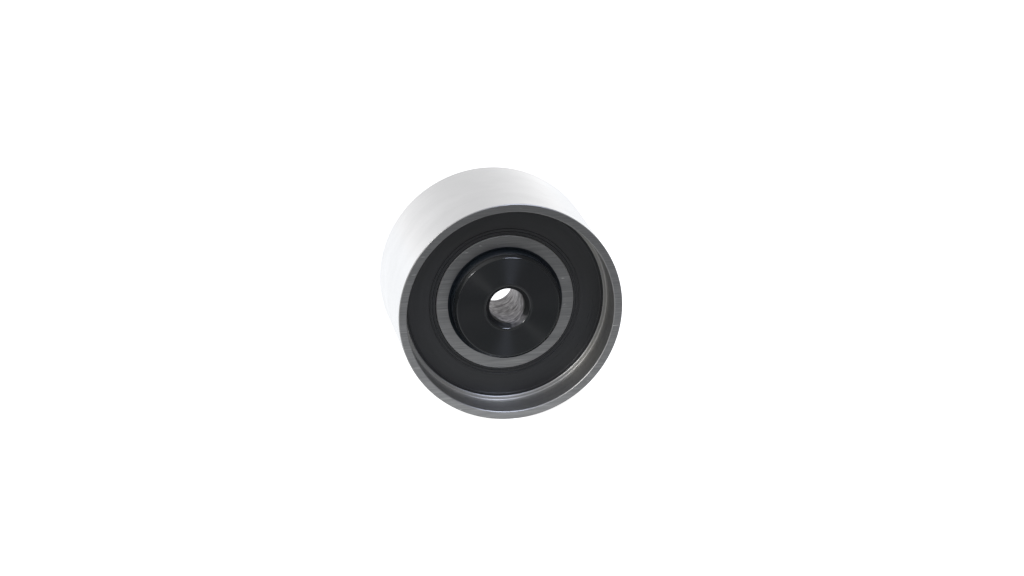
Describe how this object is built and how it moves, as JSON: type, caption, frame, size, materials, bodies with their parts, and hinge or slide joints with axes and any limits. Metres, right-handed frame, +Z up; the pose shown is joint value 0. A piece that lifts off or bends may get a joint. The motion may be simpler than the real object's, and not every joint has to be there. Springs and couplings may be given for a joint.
{
  "type": "sealed ball-bearing roller",
  "caption": "Wide steel roller with a sealed ball bearing inside and a black hub with a bolt bore, recessed at both ends; the outer ring turns freely about the hub.",
  "frame": {"origin": "centre of the roller on its spin axis", "axes": "+Y along the spin axis, with the hub's boss towards -Y; +Z up"},
  "size_m": [0.062, 0.0356, 0.062],
  "materials": {
    "ground_steel": "ground and polished bearing steel outside, fine-turned ends and recess",
    "ring_steel": "ground bearing steel, satin grey",
    "black_steel": "glossy black-finished turned steel, rough bare bore",
    "seal_rubber": "smooth moulded black nitrile rubber",
    "seal_steel": "plain pressed sheet",
    "cage_steel": "pressed sheet steel with rolled grain",
    "rivet_steel": "upset rivet heads, satin",
    "ball_steel": "lapped mirror bright"
  },
  "bodies": {
    "hub": {"hub": "black_steel", "inner_ring": "ring_steel"},
    "roller": {"outer_ring": "ground_steel", "front_seal": "seal_rubber", "rear_seal": "seal_rubber", "front_seal_plate": "seal_steel", "rear_seal_plate": "seal_steel"},
    "cage": {"front_cage": "cage_steel", "rear_cage": "cage_steel", "cage_rivet_1": "rivet_steel", "cage_rivet_2": "rivet_steel", "cage_rivet_3": "rivet_steel", "cage_rivet_4": "rivet_steel", "cage_rivet_5": "rivet_steel", "cage_rivet_6": "rivet_steel", "cage_rivet_7": "rivet_steel", "cage_rivet_8": "rivet_steel", "cage_rivet_9": "rivet_steel"},
    "ball_1": {"ball_1": "ball_steel"},
    "ball_2": {"ball_2": "ball_steel"},
    "ball_3": {"ball_3": "ball_steel"},
    "ball_4": {"ball_4": "ball_steel"},
    "ball_5": {"ball_5": "ball_steel"},
    "ball_6": {"ball_6": "ball_steel"},
    "ball_7": {"ball_7": "ball_steel"},
    "ball_8": {"ball_8": "ball_steel"},
    "ball_9": {"ball_9": "ball_steel"}
  },
  "joints": [
    {"name": "roller_spin", "type": "hinge", "parent": "hub", "child": "roller", "pos_m": [0, 0, 0], "axis": [0, 1, 0], "continuous": true},
    {"name": "cage_spin", "type": "hinge", "parent": "hub", "child": "cage", "pos_m": [0, 0, 0], "axis": [0, 1, 0], "continuous": true},
    {"name": "ball_1_spin", "type": "hinge", "parent": "cage", "child": "ball_1", "pos_m": [0.023, 0, 0], "axis": [0, 1, 0], "continuous": true},
    {"name": "ball_2_spin", "type": "hinge", "parent": "cage", "child": "ball_2", "pos_m": [0.01762, 0, 0.01478], "axis": [0, 1, 0], "continuous": true},
    {"name": "ball_3_spin", "type": "hinge", "parent": "cage", "child": "ball_3", "pos_m": [0.00399, 0, 0.02265], "axis": [0, 1, 0], "continuous": true},
    {"name": "ball_4_spin", "type": "hinge", "parent": "cage", "child": "ball_4", "pos_m": [-0.0115, 0, 0.01992], "axis": [0, 1, 0], "continuous": true},
    {"name": "ball_5_spin", "type": "hinge", "parent": "cage", "child": "ball_5", "pos_m": [-0.02161, 0, 0.00787], "axis": [0, 1, 0], "continuous": true},
    {"name": "ball_6_spin", "type": "hinge", "parent": "cage", "child": "ball_6", "pos_m": [-0.02161, 0, -0.00787], "axis": [0, 1, 0], "continuous": true},
    {"name": "ball_7_spin", "type": "hinge", "parent": "cage", "child": "ball_7", "pos_m": [-0.0115, 0, -0.01992], "axis": [0, 1, 0], "continuous": true},
    {"name": "ball_8_spin", "type": "hinge", "parent": "cage", "child": "ball_8", "pos_m": [0.00399, 0, -0.02265], "axis": [0, 1, 0], "continuous": true},
    {"name": "ball_9_spin", "type": "hinge", "parent": "cage", "child": "ball_9", "pos_m": [0.01762, 0, -0.01478], "axis": [0, 1, 0], "continuous": true}
  ],
  "couplings": [
    {"joint": "cage_spin", "follows": "roller_spin", "ratio": 0.60353},
    {"joint": "ball_1_spin", "follows": "roller_spin", "ratio": 2.3112},
    {"joint": "ball_2_spin", "follows": "roller_spin", "ratio": 2.3112},
    {"joint": "ball_3_spin", "follows": "roller_spin", "ratio": 2.3112},
    {"joint": "ball_4_spin", "follows": "roller_spin", "ratio": 2.3112},
    {"joint": "ball_5_spin", "follows": "roller_spin", "ratio": 2.3112},
    {"joint": "ball_6_spin", "follows": "roller_spin", "ratio": 2.3112},
    {"joint": "ball_7_spin", "follows": "roller_spin", "ratio": 2.3112},
    {"joint": "ball_8_spin", "follows": "roller_spin", "ratio": 2.3112},
    {"joint": "ball_9_spin", "follows": "roller_spin", "ratio": 2.3112}
  ]
}
